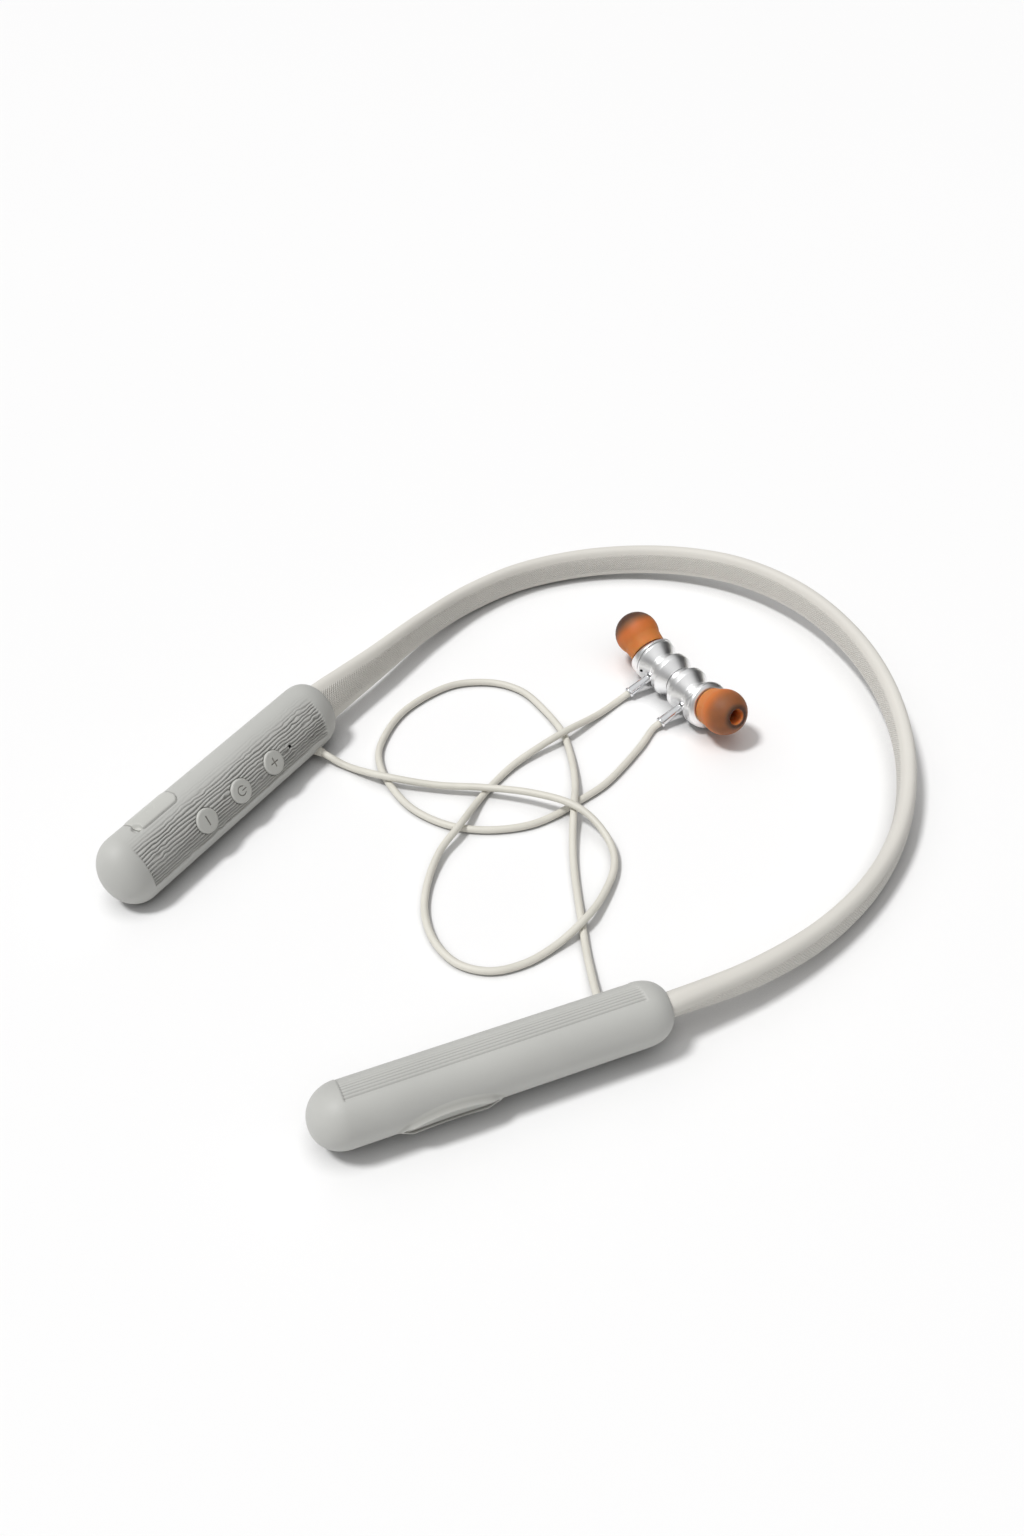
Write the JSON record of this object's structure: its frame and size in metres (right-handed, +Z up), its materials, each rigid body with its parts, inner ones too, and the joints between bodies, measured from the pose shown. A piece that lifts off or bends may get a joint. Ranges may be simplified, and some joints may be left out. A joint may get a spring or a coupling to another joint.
{
  "type": "neckband earphones",
  "caption": "Flexible neckband with two electronics pods and a pair of corded magnetic earbuds, lying open on a table.",
  "frame": {"origin": "middle of the bounding box at table height, loose cords left out", "axes": "+Z up from the table, +Y from the pods' free tips to the back of the neckband, +X towards the wearer's right-hand pod"},
  "size_m": [0.154, 0.2055, 0.0165],
  "materials": {
    "pod_plastic": "soft-touch matt moulding",
    "button_plastic": "smooth matt moulding",
    "black_plastic": "moulded",
    "circuit_board": "solder mask",
    "band_silicone": "matt silicone with a fine diagonal texture on its faces",
    "stem_chrome": "polished plating",
    "cord_rubber": "smooth satin jacket",
    "bud_aluminium": "fine turned finish",
    "eartip_silicone": "translucent silicone",
    "cell_foil": "foil pouch",
    "plated_steel": "plated"
  },
  "bodies": {
    "neckband": {"battery_cell": "cell_foil", "button_membrane": "cord_rubber", "call_button_bezel": "button_plastic", "call_button_board": "circuit_board", "call_button_switch": "black_plastic", "charging_socket": "plated_steel", "left_band_anchor": "black_plastic", "left_bud_cord_stem": "stem_chrome", "left_bud_driver": "plated_steel", "left_bud_front_housing": "bud_aluminium", "left_bud_magnet": "plated_steel", "left_bud_nozzle_mesh": "plated_steel", "left_bud_rear_housing": "bud_aluminium", "left_cord_gland": "cord_rubber", "left_earbud_cord": "cord_rubber", "left_pod_back_shell": "pod_plastic", "left_pod_face_shell": "pod_plastic", "main_circuit_board": "circuit_board", "microphone": "plated_steel", "neckband_sleeve": "band_silicone", "neckband_spring_core": "plated_steel", "neckband_wire_harness": "black_plastic", "power_switch": "black_plastic", "right_band_anchor": "black_plastic", "right_bud_cord_stem": "stem_chrome", "right_bud_driver": "plated_steel", "right_bud_front_housing": "bud_aluminium", "right_bud_magnet": "plated_steel", "right_bud_nozzle_mesh": "plated_steel", "right_bud_rear_housing": "bud_aluminium", "right_cord_gland": "cord_rubber", "right_earbud_cord": "cord_rubber", "right_pod_back_shell": "pod_plastic", "right_pod_face_shell": "pod_plastic", "volume_down_switch": "black_plastic", "volume_up_switch": "black_plastic", "wireless_module": "plated_steel"},
    "volume_up_button": {"volume_up_button": "button_plastic"},
    "power_button": {"power_button": "button_plastic"},
    "volume_down_button": {"volume_down_button": "button_plastic"},
    "call_button": {"call_button": "button_plastic"},
    "port_cover": {"charging_port_cover": "button_plastic"},
    "left_eartip": {"left_bud_eartip": "eartip_silicone"},
    "right_eartip": {"right_bud_eartip": "eartip_silicone"}
  },
  "joints": [
    {"name": "volume_up_press", "type": "slide", "parent": "neckband", "child": "volume_up_button", "axis": [-0.825, -0.2633, -0.5], "range_m": [0, 0.0003], "stiffness_N_per_m": 300},
    {"name": "power_press", "type": "slide", "parent": "neckband", "child": "power_button", "axis": [-0.825, -0.2633, -0.5], "range_m": [0, 0.0003], "stiffness_N_per_m": 300},
    {"name": "volume_down_press", "type": "slide", "parent": "neckband", "child": "volume_down_button", "axis": [-0.825, -0.2633, -0.5], "range_m": [0, 0.0003], "stiffness_N_per_m": 300},
    {"name": "call_press", "type": "slide", "parent": "neckband", "child": "call_button", "axis": [-0.906, 0.2892, 0.309], "range_m": [0, 0.0003], "stiffness_N_per_m": 300},
    {"name": "cover_hinge", "type": "hinge", "parent": "neckband", "child": "port_cover", "pos_m": [-0.04731, -0.07987, 0.01578], "axis": [-0.825, -0.2633, -0.5], "range_deg": [0, 110]},
    {"name": "left_eartip_pull", "type": "slide", "parent": "neckband", "child": "left_eartip", "axis": [-0.9294, 0.1389, 0.342], "range_m": [0, 0.006]},
    {"name": "right_eartip_pull", "type": "slide", "parent": "neckband", "child": "right_eartip", "axis": [0.9294, -0.1389, 0.342], "range_m": [0, 0.006]}
  ]
}
